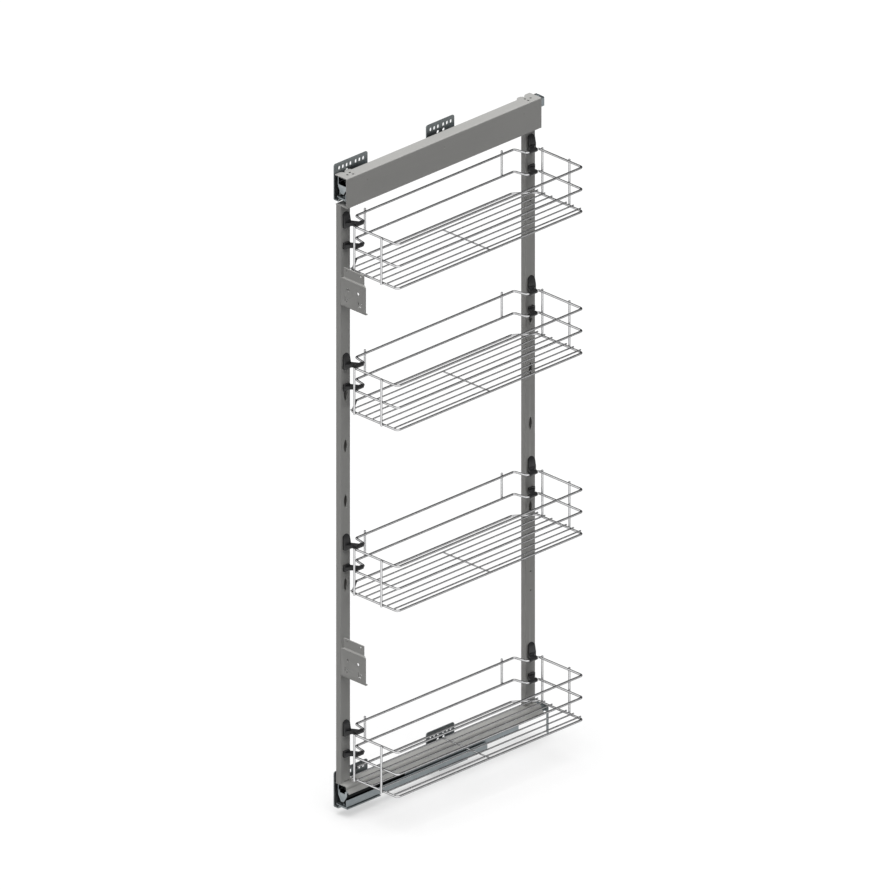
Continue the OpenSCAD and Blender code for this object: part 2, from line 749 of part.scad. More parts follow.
module peg_clips() {
    color(plastic_black)
        for (z = basket_levels)
            peg_clip(z + mid_rail_rise);
}

// ---------- assembly ----------

lower_side() cabinet_rail(lower_rail_w, lower_wall_h, 10);  // lower_cabinet_rail
upper_side() cabinet_rail(upper_rail_w, upper_wall_h, 6);  // upper_cabinet_rail
front_bracket(lower_plate_top, lower_foot_drop, 0, lower_foot_x1);  // lower_front_bracket
middle_bracket(lower_plate_top, lower_foot_drop, 0, lower_foot_x1);  // lower_middle_bracket
front_bracket(upper_plate_top, upper_foot_drop, upper_rail_z, upper_foot_x1);  // upper_front_bracket
middle_bracket(upper_plate_top, upper_foot_drop, upper_rail_z, upper_foot_x1);  // upper_middle_bracket
bracket_rivets();
lower_side() middle_member(lower_rail_w);  // lower_middle_member
upper_side() middle_member(upper_rail_w);  // upper_middle_member
lower_side() cage(lower_rail_w, outer_cage_y, outer_cage_length, outer_balls);  // lower_outer_cage
lower_side() balls(lower_rail_w, outer_cage_y, outer_cage_length, outer_balls);  // lower_outer_balls
lower_side() turned_over() cage(drawer_w, inner_cage_y, inner_cage_length, inner_balls);  // lower_inner_cage
lower_side() turned_over() balls(drawer_w, inner_cage_y, inner_cage_length, inner_balls);  // lower_inner_balls
upper_side() cage(upper_rail_w, outer_cage_y, outer_cage_length, outer_balls);  // upper_outer_cage
upper_side() balls(upper_rail_w, outer_cage_y, outer_cage_length, outer_balls);  // upper_outer_balls
upper_side() turned_over() cage(drawer_w, inner_cage_y, inner_cage_length, inner_balls);  // upper_inner_cage
upper_side() turned_over() balls(drawer_w, inner_cage_y, inner_cage_length, inner_balls);  // upper_inner_balls
lower_side()  // lower_drawer_member
    drawer_member(lower_drawer_wall_h, drawer_bend_r, []);
upper_side()  // upper_drawer_member
    drawer_member(upper_drawer_wall_h, member_bend_r, cover_holes);
base_beam();
top_cover();
post();  // front_post
mirror_y() post();  // rear_post
door_bracket(upper_door_z);  // upper_door_bracket
door_bracket(lower_door_z);  // lower_door_bracket
door_bracket_screws();
union() {  // drawer_end_screws
    lower_side() color(zinc) drawer_end_screw();
    upper_side() color(zinc) drawer_end_screw();
}
lower_rear_finger();  // rear_finger_plate
basket(top_basket_z);  // top_basket
basket(second_basket_z);  // second_basket
basket(third_basket_z);  // third_basket
basket(bottom_basket_z);  // bottom_basket
tongue_clips();  // front_tongue_clips
mirror_y() tongue_clips();  // rear_tongue_clips
peg_clips();  // front_peg_clips
mirror_y() peg_clips();  // rear_peg_clips
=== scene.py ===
import bpy
import bmesh
import math
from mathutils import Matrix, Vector


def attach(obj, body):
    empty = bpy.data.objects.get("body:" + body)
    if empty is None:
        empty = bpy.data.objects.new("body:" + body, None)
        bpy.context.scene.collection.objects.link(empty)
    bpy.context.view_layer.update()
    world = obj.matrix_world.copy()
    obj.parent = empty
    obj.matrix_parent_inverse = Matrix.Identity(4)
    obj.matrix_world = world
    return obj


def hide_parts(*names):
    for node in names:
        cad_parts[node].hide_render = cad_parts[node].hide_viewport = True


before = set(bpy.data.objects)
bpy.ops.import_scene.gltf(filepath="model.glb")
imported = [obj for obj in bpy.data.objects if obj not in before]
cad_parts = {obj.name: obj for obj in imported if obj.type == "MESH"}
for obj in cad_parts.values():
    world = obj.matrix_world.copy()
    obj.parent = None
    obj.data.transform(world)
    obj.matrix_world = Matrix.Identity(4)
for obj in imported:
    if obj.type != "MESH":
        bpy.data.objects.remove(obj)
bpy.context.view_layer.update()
scene = bpy.context.scene
print("frame loaded, nodes:", len(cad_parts))


def newObject(name, data):
    made = bpy.data.objects.new(name, data)
    scene.collection.objects.link(made)
    return made


camera = {
    "azimuth": 45.2,          # degrees round the object, 0 looks to the back
    "elevation": 25.0,
    "pixelsPerMetre": 560.7,
    "anchor": (0.0055, 0.0, 0.0),         # this point of the object ...
    "anchorPixel": (335.62, 803.85),      # ... falls on this pixel of the picture
    "pictureSize": 890,
    "distance": 6.0,
    "clip": (0.1, 40.0),
}


def makeCamera(values):
    a, e = math.radians(values["azimuth"]), math.radians(values["elevation"])
    back = Vector((math.sin(a) * math.cos(e), -math.cos(a) * math.cos(e), math.sin(e)))
    right = Vector((math.cos(a), math.sin(a), 0))
    up = back.cross(right)
    half = values["pictureSize"] / 2
    across = (half - values["anchorPixel"][0]) / values["pixelsPerMetre"]
    above = (values["anchorPixel"][1] - half) / values["pixelsPerMetre"]
    data = bpy.data.cameras.new("camera")
    data.type = "ORTHO"
    data.ortho_scale = values["pictureSize"] / values["pixelsPerMetre"]
    data.clip_start, data.clip_end = values["clip"]
    holder = newObject("camera", data)
    holder.location = Vector(values["anchor"]) + right * across + up * above + back * values["distance"]
    holder.rotation_mode = "QUATERNION"
    holder.rotation_quaternion = (-back).to_track_quat("-Z", "Y")
    scene.camera = holder


makeCamera(camera)


def maths(tree, operation, first, second):
    made = tree.nodes.new("ShaderNodeMath")
    made.operation = operation
    for socket, value in ((made.inputs[0], first), (made.inputs[1], second)):
        if isinstance(value, (int, float)):
            socket.default_value = value
        else:
            tree.links.new(value, socket)
    return made.outputs[0]


def grey(value):
    return (value, value, value, 1)


studio = {
    "floorZ": -0.021,
    "floorSize": 14.0,
    "floorShown": 0.90,       # floor colour that the camera and glossy surfaces see
    "floorOwnWhite": 0.55,    # share of it that is its own white, so that the shadow stays pale
    "floorBounce": 0.15,      # floor colour that lights the object from below
    "worldLight": 0.13,
    "skyLamp": 3.6,           # broad overhead lamp
    "skyLampWidth": 70,       # degrees
    "skyLampFrom": (0.11, -0.13, 1.0),
    "cardShade": 0.17,        # dim cards behind and above, which only glossy surfaces see
    "cardBack": 3.2,          # their distance behind, height above and reach to each side
    "cardHigh": 3.5,
    "cardSide": 4.5,
    "backCardFoot": 0.25,
    "backCardTop": 6.5,
    "ceilingCardFront": -0.4,
    "ceilingCardRight": -0.8,
}


def aimedLamp(name, comesFrom, strength, width):
    data = bpy.data.lights.new(name, "SUN")
    data.energy = strength
    data.angle = math.radians(width)
    lamp = newObject(name, data)
    lamp.rotation_mode = "QUATERNION"
    lamp.rotation_quaternion = Vector(comesFrom).to_track_quat("Z", "Y")
    return lamp


def flatCard(name, corners):
    mesh = bpy.data.meshes.new(name)
    mesh.from_pydata(corners, [], [(0, 1, 2, 3)])
    card = newObject(name, mesh)
    material = bpy.data.materials.new(name)
    material.use_nodes = True
    card.data.materials.append(material)
    shader = material.node_tree.nodes["Principled BSDF"]
    shader.inputs["Roughness"].default_value = 1.0
    shader.inputs["Specular IOR Level"].default_value = 0.0
    return card, material.node_tree, shader


def makeFloor(values):
    s, z = values["floorSize"] / 2, values["floorZ"]
    _, tree, shader = flatCard("studioFloor", [(-s, -s, z), (s, -s, z), (s, s, z), (-s, s, z)])
    path = tree.nodes.new("ShaderNodeLightPath")
    shown = maths(tree, "MAXIMUM", path.outputs["Is Camera Ray"], path.outputs["Is Glossy Ray"])
    colour = tree.nodes.new("ShaderNodeMix")
    colour.data_type = "RGBA"
    colour.inputs["A"].default_value = grey(values["floorBounce"])
    colour.inputs["B"].default_value = grey(values["floorShown"])
    tree.links.new(shown, colour.inputs["Factor"])
    tree.links.new(colour.outputs["Result"], shader.inputs["Base Color"])
    ownWhite = tree.nodes.new("ShaderNodeEmission")
    blend = tree.nodes.new("ShaderNodeMixShader")
    tree.links.new(maths(tree, "MULTIPLY", shown, values["floorOwnWhite"]), blend.inputs[0])
    tree.links.new(shader.outputs[0], blend.inputs[1])
    tree.links.new(ownWhite.outputs[0], blend.inputs[2])
    tree.links.new(blend.outputs[0], tree.nodes["Material Output"].inputs["Surface"])


def makeCards(values):
    # the dim end of the studio, which gives wires and zinc their darker upper edges
    back, high, side = values["cardBack"], values["cardHigh"], values["cardSide"]
    foot, top = values["backCardFoot"], values["backCardTop"]
    front, right = values["ceilingCardFront"], values["ceilingCardRight"]
    cards = {
        "studioBackCard": [(-side, back, foot), (side, back, foot), (side, back, top), (-side, back, top)],
        "studioCeilingCard": [(-side, front, high), (right, front, high), (right, back, high),
                              (-side, back, high)],
    }
    for name, corners in cards.items():
        card, _, shader = flatCard(name, corners)
        shader.inputs["Base Color"].default_value = grey(0)
        shader.inputs["Emission Color"].default_value = grey(values["cardShade"])
        shader.inputs["Emission Strength"].default_value = 1.0
        card.visible_camera = card.visible_diffuse = card.visible_shadow = card.visible_transmission = False


def makeWorld(values):
    # plain white where the camera, metal or glass sees it, and a low light otherwise
    world = bpy.data.worlds.new("studioWorld")
    scene.world = world
    world.use_nodes = True
    tree = world.node_tree
    tree.nodes.clear()
    path = tree.nodes.new("ShaderNodeLightPath")
    seen = maths(tree, "MAXIMUM", path.outputs["Is Camera Ray"], path.outputs["Is Glossy Ray"])
    seen = maths(tree, "MAXIMUM", seen, path.outputs["Is Transmission Ray"])
    mix = tree.nodes.new("ShaderNodeMixShader")
    tree.links.new(seen, mix.inputs[0])
    for socket, strength in ((mix.inputs[1], values["worldLight"]), (mix.inputs[2], 1.0)):
        light = tree.nodes.new("ShaderNodeBackground")
        light.inputs["Color"].default_value = grey(1)
        light.inputs["Strength"].default_value = strength
        tree.links.new(light.outputs[0], socket)
    out = tree.nodes.new("ShaderNodeOutputWorld")
    tree.links.new(mix.outputs[0], out.inputs["Surface"])


makeFloor(studio)
makeCards(studio)
makeWorld(studio)
sky = aimedLamp("skyLamp", studio["skyLampFrom"], studio["skyLamp"], studio["skyLampWidth"])
sky.visible_glossy = False
scene.view_settings.view_transform = "Standard"
print("camera and studio ready")


def newGroup(name, inputs, outputs):
    # a way of finishing a surface, shared by the materials
    tree = bpy.data.node_groups.new(name, "ShaderNodeTree")
    for label, kind, value in inputs:
        socket = tree.interface.new_socket(label, in_out="INPUT", socket_type=kind)
        if value is not None:
            socket.default_value = value
    for label, kind in outputs:
        tree.interface.new_socket(label, in_out="OUTPUT", socket_type=kind)
    return tree, tree.nodes.new("NodeGroupInput"), tree.nodes.new("NodeGroupOutput")


def noise(tree, vector, scale, detail=2.0, rough=0.5):
    made = tree.nodes.new("ShaderNodeTexNoise")
    tree.links.new(vector, made.inputs["Vector"])
    for name, value in (("Scale", scale), ("Detail", detail), ("Roughness", rough)):
        if isinstance(value, (int, float)):
            made.inputs[name].default_value = value
        else:
            tree.links.new(value, made.inputs[name])
    return made.outputs["Fac"]


def swing(tree, value, depth, middle):
    # a noise value as a swing of the given depth about a middle
    centred = maths(tree, "SUBTRACT", value, 0.5)
    return maths(tree, "ADD", maths(tree, "MULTIPLY", centred, depth), middle)


def makeToneDrift():
    # slow drift of a colour's lightness over the surface
    tree, into, out = newGroup("toneDrift", [
        ("Vector", "NodeSocketVector", None), ("Color", "NodeSocketColor", (0.5, 0.5, 0.5, 1)),
        ("Scale", "NodeSocketFloat", 10.0), ("Depth", "NodeSocketFloat", 0.1)],
        [("Color", "NodeSocketColor")])
    value = noise(tree, into.outputs["Vector"], into.outputs["Scale"], detail=3.0)
    shade = tree.nodes.new("ShaderNodeVectorMath")
    shade.operation = "SCALE"
    tree.links.new(into.outputs["Color"], shade.inputs[0])
    tree.links.new(swing(tree, value, into.outputs["Depth"], 1.0), shade.inputs["Scale"])
    tree.links.new(shade.outputs["Vector"], out.inputs["Color"])
    return tree


grainMix = {"fineShare": 0.4, "broadShare": 0.6, "broadScale": 0.03}


def makeFineGrain(values):
    # small grain: a roughness that varies, and a height for the bump
    tree, into, out = newGroup("fineGrain", [
        ("Vector", "NodeSocketVector", None), ("Scale", "NodeSocketFloat", 900.0),
        ("Roughness", "NodeSocketFloat", 0.4), ("Spread", "NodeSocketFloat", 0.1)],
        [("Roughness", "NodeSocketFloat"), ("Height", "NodeSocketFloat")])
    fine = noise(tree, into.outputs["Vector"], into.outputs["Scale"], rough=0.55)
    broadScale = maths(tree, "MULTIPLY", into.outputs["Scale"], values["broadScale"])
    broad = noise(tree, into.outputs["Vector"], broadScale)
    both = maths(tree, "ADD", maths(tree, "MULTIPLY", fine, values["fineShare"]),
                 maths(tree, "MULTIPLY", broad, values["broadShare"]))
    varied = swing(tree, both, into.outputs["Spread"], into.outputs["Roughness"])
    tree.links.new(varied, out.inputs["Roughness"])
    tree.links.new(fine, out.inputs["Height"])
    return tree


def makeDrawnLines():
    # marks of rolling or drawing, long along one axis
    tree, into, out = newGroup("drawnLines", [
        ("Vector", "NodeSocketVector", None), ("Squeeze", "NodeSocketVector", (1.0, 0.02, 1.0)),
        ("Scale", "NodeSocketFloat", 600.0)], [("Value", "NodeSocketFloat")])
    squeezed = tree.nodes.new("ShaderNodeVectorMath")
    squeezed.operation = "MULTIPLY"
    tree.links.new(into.outputs["Vector"], squeezed.inputs[0])
    tree.links.new(into.outputs["Squeeze"], squeezed.inputs[1])
    lines = noise(tree, squeezed.outputs["Vector"], into.outputs["Scale"], detail=3.0, rough=0.6)
    tree.links.new(lines, out.inputs["Value"])
    return tree


def makeWornAndLitEdge():
    # mask of the convex edges, where handling polishes a finish; the lighter colour laid there is partly wear
    # and partly a painted highlight
    steepness = 14.0
    tree, into, out = newGroup("rubbedEdge", [
        ("Vector", "NodeSocketVector", None), ("Start", "NodeSocketFloat", 0.52),
        ("Breakup", "NodeSocketFloat", 60.0)], [("Mask", "NodeSocketFloat")])
    shape = tree.nodes.new("ShaderNodeNewGeometry")
    lifted = maths(tree, "SUBTRACT", shape.outputs["Pointiness"], into.outputs["Start"])
    strong = maths(tree, "MULTIPLY", lifted, steepness)
    patches = noise(tree, into.outputs["Vector"], into.outputs["Breakup"], detail=4.0, rough=0.65)
    clamp = tree.nodes.new("ShaderNodeClamp")
    tree.links.new(maths(tree, "MULTIPLY", strong, patches), clamp.inputs["Value"])
    tree.links.new(clamp.outputs["Result"], out.inputs["Mask"])
    return tree


groups = {"drift": makeToneDrift(), "grain": makeFineGrain(grainMix), "lines": makeDrawnLines(),
          "edge": makeWornAndLitEdge()}


class Finish:
    # one material being built: its nodes, its shader and its object coordinates

    def __init__(self, name):
        self.material = bpy.data.materials.new(name)
        self.material.use_nodes = True
        self.tree = self.material.node_tree
        self.shader = self.tree.nodes["Principled BSDF"]
        self.place = self.tree.nodes.new("ShaderNodeTexCoord").outputs["Object"]

    def connect(self, value, socket):
        if isinstance(value, bpy.types.NodeSocket):
            self.tree.links.new(value, socket)
        else:
            socket.default_value = value

    def group(self, key, **values):
        made = self.tree.nodes.new("ShaderNodeGroup")
        made.node_tree = groups[key]
        self.tree.links.new(self.place, made.inputs["Vector"])
        for name, value in values.items():
            self.connect(value, made.inputs[name])
        return made

    def drift(self, colour, values):
        made = self.group("drift", Color=colour, Scale=values["driftScale"], Depth=values["driftDepth"])
        return made.outputs["Color"]

    # the lighter edges: partly wear, partly a painted highlight
    def edge(self, values):
        return self.group("edge", Start=values["edgeStart"], Breakup=values["edgeBreakup"]).outputs["Mask"]

    def grain(self, roughness, values):
        made = self.group("grain", Scale=values["grainScale"], Roughness=roughness,
                          Spread=values["roughnessSpread"])
        return made.outputs["Roughness"], made.outputs["Height"]

    def mix(self, factor, first, second):
        made = self.tree.nodes.new("ShaderNodeMix")
        made.data_type = "RGBA"
        self.connect(factor, made.inputs["Factor"])
        self.connect(first, made.inputs["A"])
        self.connect(second, made.inputs["B"])
        return made.outputs["Result"]

    def bump(self, height, distance, strength=1.0, under=None):
        made = self.tree.nodes.new("ShaderNodeBump")
        made.inputs["Strength"].default_value = strength
        made.inputs["Distance"].default_value = distance
        self.connect(height, made.inputs["Height"])
        if under is not None:
            self.connect(under, made.inputs["Normal"])
        return made.outputs["Normal"]

    def feed(self, name, value):
        self.connect(value, self.shader.inputs[name])


framePaint = {
    "colour": (0.400, 0.398, 0.385, 1), "driftScale": 9.0, "driftDepth": 0.09,
    # the lighter edge colour is partly wear and partly a painted highlight
    "rubbed": (0.56, 0.555, 0.54, 1), "rubbedShare": 0.5, "edgeStart": 0.53, "edgeBreakup": 80.0,
    "grainScale": 850, "grainDepth": 0.00004,     # orange peel of the powder coat
    "roughness": 0.46, "roughnessSpread": 0.16, "specular": 0.45,
}


def makeFramePaint(name, values):
    paint = Finish(name)
    # convex edges turn lighter: partly wear, partly a painted highlight
    faint = maths(paint.tree, "MULTIPLY", paint.edge(values), values["rubbedShare"])
    paint.feed("Base Color", paint.mix(faint, paint.drift(values["colour"], values), values["rubbed"]))
    roughness, height = paint.grain(values["roughness"], values)
    paint.feed("Roughness", roughness)
    paint.feed("Normal", paint.bump(height, values["grainDepth"]))
    paint.feed("Specular IOR Level", values["specular"])
    return paint.material


zincLook = {
    # each lighter edge colour is partly wear and partly a painted highlight
    "bright": {"colour": (0.235, 0.265, 0.277, 1), "cloud": (0.18, 0.205, 0.22, 1),
               "rubbed": (0.36, 0.39, 0.40, 1), "roughness": 0.34, "metallic": 0.9},
    "dark": {"colour": (0.25, 0.275, 0.28, 1), "cloud": (0.145, 0.163, 0.17, 1),
             "rubbed": (0.42, 0.45, 0.46, 1), "roughness": 0.38, "metallic": 0.75},
    # the middle members are bare zinc, with a near-black painted shade over their front part, where they lie
    # in the shadowed recess under the beam
    "member": {"colour": (0.30, 0.335, 0.35, 1), "cloud": (0.23, 0.26, 0.28, 1),
               "rubbed": (0.38, 0.41, 0.42, 1), "roughness": 0.36, "metallic": 0.9,
               "front": (0.010, 0.011, 0.012, 1), "frontEnd": 0.15},
}
zincMarks = {
    "driftScale": 34.0, "driftDepth": 0.28,
    "patchScale": 95.0, "patchSqueeze": (1.0, 0.35, 1.0),
    "edgeStart": 0.52, "edgeBreakup": 120.0,
    "lineScale": 2600.0, "lineSqueeze": (1.0, 0.012, 1.0), "lineStrength": 0.6,
    "grainScale": 1400.0, "grainStrength": 0.5, "roughnessSpread": 0.22,
    "depth": 0.00002,
}


def makeZinc(name, values, marks):
    zinc = Finish(name)
    patches = zinc.group("lines", Squeeze=marks["patchSqueeze"], Scale=marks["patchScale"])
    tone = zinc.mix(patches.outputs["Value"], zinc.drift(values["colour"], marks), values["cloud"])
    # convex edges turn lighter: partly wear, partly a painted highlight
    shown = zinc.mix(zinc.edge(marks), tone, values["rubbed"])
    # painted shade: near black in front, bare zinc behind
    if "front" in values:
        along = zinc.tree.nodes.new("ShaderNodeSeparateXYZ")
        zinc.connect(zinc.place, along.inputs[0])
        behind = maths(zinc.tree, "GREATER_THAN", along.outputs["Y"], values["frontEnd"])
        shown = zinc.mix(behind, values["front"], shown)
    zinc.feed("Base Color", shown)
    zinc.feed("Metallic", values["metallic"])
    lines = zinc.group("lines", Squeeze=marks["lineSqueeze"], Scale=marks["lineScale"])
    roughness, height = zinc.grain(values["roughness"], marks)
    zinc.feed("Roughness", roughness)
    rolled = zinc.bump(lines.outputs["Value"], marks["depth"], marks["lineStrength"])
    zinc.feed("Normal", zinc.bump(height, marks["depth"], marks["grainStrength"], rolled))
    return zinc.material


wireLook = {
    "colour": (0.70, 0.70, 0.706, 1), "driftScale": 22.0, "driftDepth": 0.12,
    "edgeColour": (0.16, 0.16, 0.164, 1),    # painted shade where the wire turns away from the view
    "edgeFrom": 0.22, "edgeTo": 0.56,
    "edgeTint": (0.35, 0.35, 0.36, 1),
    "weldColour": (0.34, 0.335, 0.33, 1), "weldRoughness": 0.25,
    "roughness": 0.26, "roughnessSpread": 0.14,
    "grainScale": 1100.0, "grainDepth": 0.00002, "grainStrength": 0.5,
}


def makeWireFinish(name, values):
    wire = Finish(name)
    # the base colour darkens towards the wire's outline: painted shade
    turned = wire.tree.nodes.new("ShaderNodeLayerWeight").outputs["Facing"]
    ramp = wire.tree.nodes.new("ShaderNodeMapRange")
    ramp.interpolation_type = "SMOOTHSTEP"
    wire.connect(turned, ramp.inputs["Value"])
    wire.connect(values["edgeFrom"], ramp.inputs["From Min"])
    wire.connect(values["edgeTo"], ramp.inputs["From Max"])
    bare = wire.mix(ramp.outputs["Result"], wire.drift(values["colour"], values), values["edgeColour"])
    weld = wire.tree.nodes.new("ShaderNodeAttribute")
    weld.attribute_name = "weldTint"
    wire.feed("Base Color", wire.mix(weld.outputs["Fac"], bare, values["weldColour"]))
    wire.feed("Metallic", 1.0)
    wire.feed("Specular Tint", values["edgeTint"])
    roughness, height = wire.grain(values["roughness"], values)
    heated = maths(wire.tree, "MULTIPLY", weld.outputs["Fac"], values["weldRoughness"])
    wire.feed("Roughness", maths(wire.tree, "ADD", roughness, heated))
    wire.feed("Normal", wire.bump(height, values["grainDepth"], values["grainStrength"]))
    return wire.material


plasticLook = {
    # each lighter edge colour is partly wear and partly a painted highlight
    "clip": {"colour": (0.012, 0.012, 0.013, 1), "rubbed": (0.0492, 0.0492, 0.0508, 1), "roughness": 0.36},
    "cage": {"colour": (0.80, 0.80, 0.77, 1), "rubbed": (1.0, 1.0, 1.0, 1), "roughness": 0.45},
}
plasticMarks = {
    "driftScale": 40.0, "driftDepth": 0.2, "edgeStart": 0.53, "edgeBreakup": 90.0,
    "grainScale": 1500.0, "grainDepth": 0.00004, "grainStrength": 0.8, "roughnessSpread": 0.15,
}


def makePlastic(name, values, marks):
    plastic = Finish(name)
    tone = plastic.drift(values["colour"], marks)
    # convex edges turn lighter: partly wear, partly a painted highlight
    plastic.feed("Base Color", plastic.mix(plastic.edge(marks), tone, values["rubbed"]))
    roughness, height = plastic.grain(values["roughness"], marks)
    plastic.feed("Roughness", roughness)
    plastic.feed("Normal", plastic.bump(height, marks["grainDepth"], marks["grainStrength"]))
    return plastic.material


ballLook = {"colour": (0.62, 0.63, 0.65, 1), "driftScale": 120.0, "driftDepth": 0.1,
            "grainScale": 2500.0, "roughness": 0.12, "roughnessSpread": 0.08}


def makeBallSteel(name, values):
    steel = Finish(name)
    steel.feed("Base Color", steel.drift(values["colour"], values))
    steel.feed("Metallic", 1.0)
    roughness, _ = steel.grain(values["roughness"], values)
    steel.feed("Roughness", roughness)
    return steel.material


finishes = {
    "paint": makeFramePaint("framePaintCoat", framePaint),
    "zinc": makeZinc("runnerZincPlating", zincLook["bright"], zincMarks),
    "member": makeZinc("memberSteelPlating", zincLook["member"], zincMarks),
    "darkZinc": makeZinc("bracketZincPlating", zincLook["dark"], zincMarks),
    "wire": makeWireFinish("basketWirePlating", wireLook),
    "clip": makePlastic("clipPlasticMoulded", plasticLook["clip"], plasticMarks),
    "cage": makePlastic("cagePlasticMoulded", plasticLook["cage"], plasticMarks),
    "ball": makeBallSteel("ballSteelPolished", ballLook),
}
print("finishes ready:", len(finishes))


def plainMesh(holder, name):
    # the result of an object's modifiers as a mesh of its own
    bpy.context.view_layer.update()
    depsgraph = bpy.context.evaluated_depsgraph_get()
    mesh = bpy.data.meshes.new_from_object(holder.evaluated_get(depsgraph), depsgraph=depsgraph)
    mesh.name = name
    bpy.data.objects.remove(holder)
    return newObject(name, mesh)


def setShading(mesh, smooth):
    for face in mesh.polygons:
        face.use_smooth = smooth


def mount(piece, body, replaced):
    # every finished piece rides on its body and stands for its CAD nodes
    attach(piece, body)
    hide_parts(*replaced)


# sheet, rails, screws and clips: the CAD solid with its edges broken as a press or a mould leaves them,
# listed by body, finish and node, with the width of the broken edge in mm
pressed = {
    "larder_frame": {
        "paint": {"front_post": 0.25, "rear_post": 0.25, "base_beam": 0.3, "top_cover": 0.3,
                  "upper_door_bracket": 0.3, "lower_door_bracket": 0.3},
        "zinc": {"lower_drawer_member": 0.2, "upper_drawer_member": 0.2, "door_bracket_screws": 0.2,
                 "drawer_end_screws": 0.15},
        "darkZinc": {"rear_finger_plate": 0.2},
        "clip": {"front_tongue_clips": 0.4, "rear_tongue_clips": 0.4, "front_peg_clips": 0.4,
                 "rear_peg_clips": 0.4},
    },
    "cabinet_rails": {
        "zinc": {"lower_cabinet_rail": 0.2, "upper_cabinet_rail": 0.2},
        "darkZinc": {"lower_front_bracket": 0.25, "lower_middle_bracket": 0.25, "upper_front_bracket": 0.25,
                     "upper_middle_bracket": 0.25},
    },
    "lower_middle": {"member": {"lower_middle_member": 0.2}},
    "upper_middle": {"member": {"upper_middle_member": 0.2}},
}
edgeBreak = {
    "mergeWithin": 0.00001,   # metres between corners that count as one
    "flatWithin": 0.6,        # degrees between faces that count as one
    "sharpFrom": 38,          # degrees between faces that get a broken edge
    "segments": 2,
    "flatWeight": 50,
}


def pieceName(node):
    words = node.split("_")
    return words[0] + "".join(word.capitalize() for word in words[1:]) + "Piece"


def mergedCopy(node, values):
    # a copy of a CAD mesh without its stored normals, with shared corners and whole flat faces
    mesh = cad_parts[node].data.copy()
    for layer in list(mesh.attributes):
        if layer.name == "custom_normal":
            mesh.attributes.remove(layer)
    work = bmesh.new()
    work.from_mesh(mesh)
    bmesh.ops.remove_doubles(work, verts=work.verts, dist=values["mergeWithin"])
    bmesh.ops.dissolve_limit(work, angle_limit=math.radians(values["flatWithin"]), verts=work.verts,
                             edges=work.edges, delimit={"NORMAL"})
    work.to_mesh(mesh)
    work.free()
    return mesh


def brokenEdges(node, width, finish, body, values):
    mesh = mergedCopy(node, values)
    mesh.materials.clear()
    mesh.materials.append(finishes[finish])
    setShading(mesh, True)
    holder = newObject(node + "Work", mesh)
    bevel = holder.modifiers.new("brokenEdge", "BEVEL")
    bevel.width = width / 1000
    bevel.segments = values["segments"]
    bevel.limit_method = "ANGLE"
    bevel.angle_limit = math.radians(values["sharpFrom"])
    bevel.miter_outer = "MITER_SHARP"
    # broad faces keep flat shading, and only the broken edges turn
    flat = holder.modifiers.new("flatFaces", "WEIGHTED_NORMAL")
    flat.mode = "FACE_AREA"
    flat.weight = values["flatWeight"]
    flat.keep_sharp = True
    mount(plainMesh(holder, pieceName(node)), body, [node])


for body, byFinish in pressed.items():
    for finish, widths in byFinish.items():
        for node, width in widths.items():
            brokenEdges(node, width, finish, body, edgeBreak)
print("pressed and moulded pieces ready")

# the balls and their cages keep their CAD solids
for node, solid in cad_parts.items():
    for ending, finish in (("_cage", "cage"), ("_balls", "ball")):
        if node.endswith(ending):
            solid.data.materials.clear()
            solid.data.materials.append(finishes[finish])
            setShading(solid.data, finish == "ball")
print("balls and cages ready")

basket = {
    # millimetres; a level is the height of a basket's lowest rim
    "levels": {"topBasket": 1056.5, "secondBasket": 778.1, "thirdBasket": 422.2, "bottomBasket": 56.5},
    "railWire": 4.2, "uprightWire": 4.2, "floorWire": 2.8,      # diameters
    "weldSink": 0.4,                                  # how deep one wire sits in another
    "weldBead": 1.9, "beadSpread": (0.8, 1.1),        # a radius, and the shares of it that beads have
    "endTaper": 0.72, "endLength": 0.5,               # a wire's end: share of its thickness, and length
    "heldFrom": 3.0, "heldInset": 0.5,                # straight stretches from this length on are held
    "height": 87.0, "frontY": 12.5, "backY": 477.5,
    "outerX": 149.5, "notchX": 37.5, "railX": 9.9, "floorX": 7.0,
    "notchDepth": 33.5, "jogSkew": 5.5, "bendRadius": 5.0,
    "baseInset": 2.0, "baseSkew": 4.0,                # how the lowest rim differs round the posts
    "floorWires": 7, "wireEnd": 3.0, "crossWireLead": 4.0,
    "floorInset": (-3.7, 7.1),                        # first and last wire, from notch and outer side
    "uprightsAt": (6.5, 75.0), "uprightPast": 0.5,    # at both ends, from the notch
    "sideUprightsAt": 27.0,                           # beside the posts, from the notch
    "sideUprightPast": (1.0, 3.0),                    # below the middle rim and above the top one
    "sides": 14, "seed": 4, "sharpFrom": 50,
}
wireKinds = {"rail": 0, "upright": 1, "floor": 2, "weld": 3}


def roundedLoop(points, radius, steps=5):
    # closed outline with every corner turned into an arc
    out = []
    for i, at in enumerate(points):
        at, before, after = Vector(at), Vector(points[i - 1]), Vector(points[(i + 1) % len(points)])
        a, b = (at - before).normalized(), (after - at).normalized()
        turn = a.angle(b)
        start = at - a * (radius * math.tan(turn / 2))
        side = (b - a * a.dot(b)).normalized()
        for k in range(steps + 1):
            angle = turn * k / steps
            out.append(start + a * (radius * math.sin(angle)) + side * (radius * (1 - math.cos(angle))))
    return out


